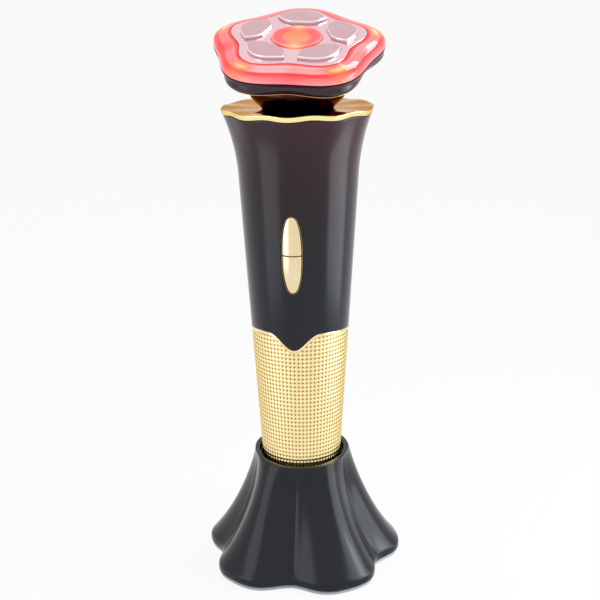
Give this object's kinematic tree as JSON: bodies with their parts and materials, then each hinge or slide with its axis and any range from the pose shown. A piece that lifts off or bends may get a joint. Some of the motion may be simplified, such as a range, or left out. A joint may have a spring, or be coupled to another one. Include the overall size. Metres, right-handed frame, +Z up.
{
  "type": "facial toning device",
  "caption": "Handheld facial toning device with a tilted lobed electrode head, light ring, two buttons and studded grip, standing in a lobed charging base.",
  "frame": {"origin": "centre of the foot pad's underside, on the surface it stands on", "axes": "+Z up along the handle, -Y towards the front, where the buttons are"},
  "size_m": [0.0742, 0.072, 0.2059],
  "materials": {
    "foot_silicone": "satin pale grey silicone",
    "inner_plastic": "moulded dark plastic",
    "bell_gloss": "polished blue-black moulding",
    "screw_steel": "zinc-plated screws",
    "cup_plastic": "satin black moulding",
    "ballast_iron": "plain cast weight",
    "board_green": "green circuit board",
    "inlet_steel": "drawn steel shell",
    "contact_gold": "gold-plated contacts",
    "sleeve_gold": "studded sleeve, pale gold, polished",
    "casing_gloss": "polished plum fading to blue-black",
    "bezel_gold": "dark gold edge",
    "button_gold": "polished pale gold",
    "seal_silicone": "soft silicone",
    "switch_plastic": "small switches",
    "ferrite": "ferrite core",
    "battery_wrap": "film-wrapped cell, density of a filled can",
    "foam": "soft foam",
    "motor_steel": "drawn steel can",
    "weight_brass": "machined weight",
    "trim_gold": "polished gold line",
    "rim_bronze": "mirror-like bronze",
    "neck_bronze": "dark polished bronze",
    "bowl_gloss": "polished plum",
    "led_glow": "small lamps",
    "ring_glow": "translucent acrylic lit red from inside",
    "plate_rose": "polished rose plating",
    "lens_glow": "translucent window lit orange from inside",
    "ribbon_film": "polyimide film",
    "electrode_rose": "polished rose plating"
  },
  "bodies": {
    "stand": {"foot_pad": "foot_silicone", "base_plate": "inner_plastic", "base_shell": "bell_gloss", "base_screws": "screw_steel", "docking_cup": "cup_plastic", "cup_screws": "screw_steel", "ballast_weight": "ballast_iron", "charging_board": "board_green", "usb_c_inlet": "inlet_steel", "pin_block": "cup_plastic", "pin_barrels": "contact_gold"},
    "centre_pin": {"centre_charging_pin": "contact_gold"},
    "side_pin": {"side_charging_pin": "contact_gold"},
    "handheld": {"end_cap": "cup_plastic", "centre_contact": "contact_gold", "ring_contact": "contact_gold", "knurled_sleeve": "sleeve_gold", "outer_casing": "casing_gloss", "button_bezel": "bezel_gold", "button_membrane": "seal_silicone", "main_board": "board_green", "board_screws": "screw_steel", "tact_switches": "switch_plastic", "rf_transformer": "ferrite", "chassis_front": "inner_plastic", "chassis_rear": "inner_plastic", "chassis_screws": "screw_steel", "battery_cell": "battery_wrap", "battery_pad": "foam", "motor_can": "motor_steel", "rim_trim": "trim_gold", "rim_plate": "rim_bronze", "neck": "neck_bronze", "neck_screws": "screw_steel", "head_shell": "bowl_gloss", "head_screws": "screw_steel", "head_gasket": "seal_silicone", "led_board": "board_green", "ring_leds": "led_glow", "centre_led": "led_glow", "light_ring": "ring_glow", "electrode_plate": "plate_rose", "centre_lens": "lens_glow", "head_ribbon": "ribbon_film", "electrode_back": "electrode_rose", "electrode_left": "electrode_rose", "electrode_front_left": "electrode_rose", "electrode_front_right": "electrode_rose", "electrode_right": "electrode_rose"},
    "upper_button": {"upper_button": "button_gold"},
    "lower_button": {"lower_button": "button_gold"},
    "motor_rotor": {"motor_shaft": "motor_steel", "eccentric_weight": "weight_brass"}
  },
  "joints": [
    {"name": "lift_off", "type": "slide", "parent": "stand", "child": "handheld", "axis": [0, 0, 1], "range_m": [0, 0.05]},
    {"name": "press_upper_button", "type": "slide", "parent": "handheld", "child": "upper_button", "axis": [0, 0.998, 0.0633], "range_m": [0, 0.0006], "stiffness_N_per_m": 600, "springref_m": -0.0008},
    {"name": "press_lower_button", "type": "slide", "parent": "handheld", "child": "lower_button", "axis": [0, 0.998, 0.0633], "range_m": [0, 0.0006], "stiffness_N_per_m": 600, "springref_m": -0.0008},
    {"name": "rotor_spin", "type": "hinge", "parent": "handheld", "child": "motor_rotor", "pos_m": [0, 0.0035, 0.14], "axis": [0, 0, 1], "continuous": true},
    {"name": "push_centre_pin", "type": "slide", "parent": "stand", "child": "centre_pin", "axis": [0, 0, -1], "range_m": [0, 0.001], "stiffness_N_per_m": 400, "springref_m": -0.001},
    {"name": "push_side_pin", "type": "slide", "parent": "stand", "child": "side_pin", "axis": [0, 0, -1], "range_m": [0, 0.001], "stiffness_N_per_m": 400, "springref_m": -0.001}
  ]
}
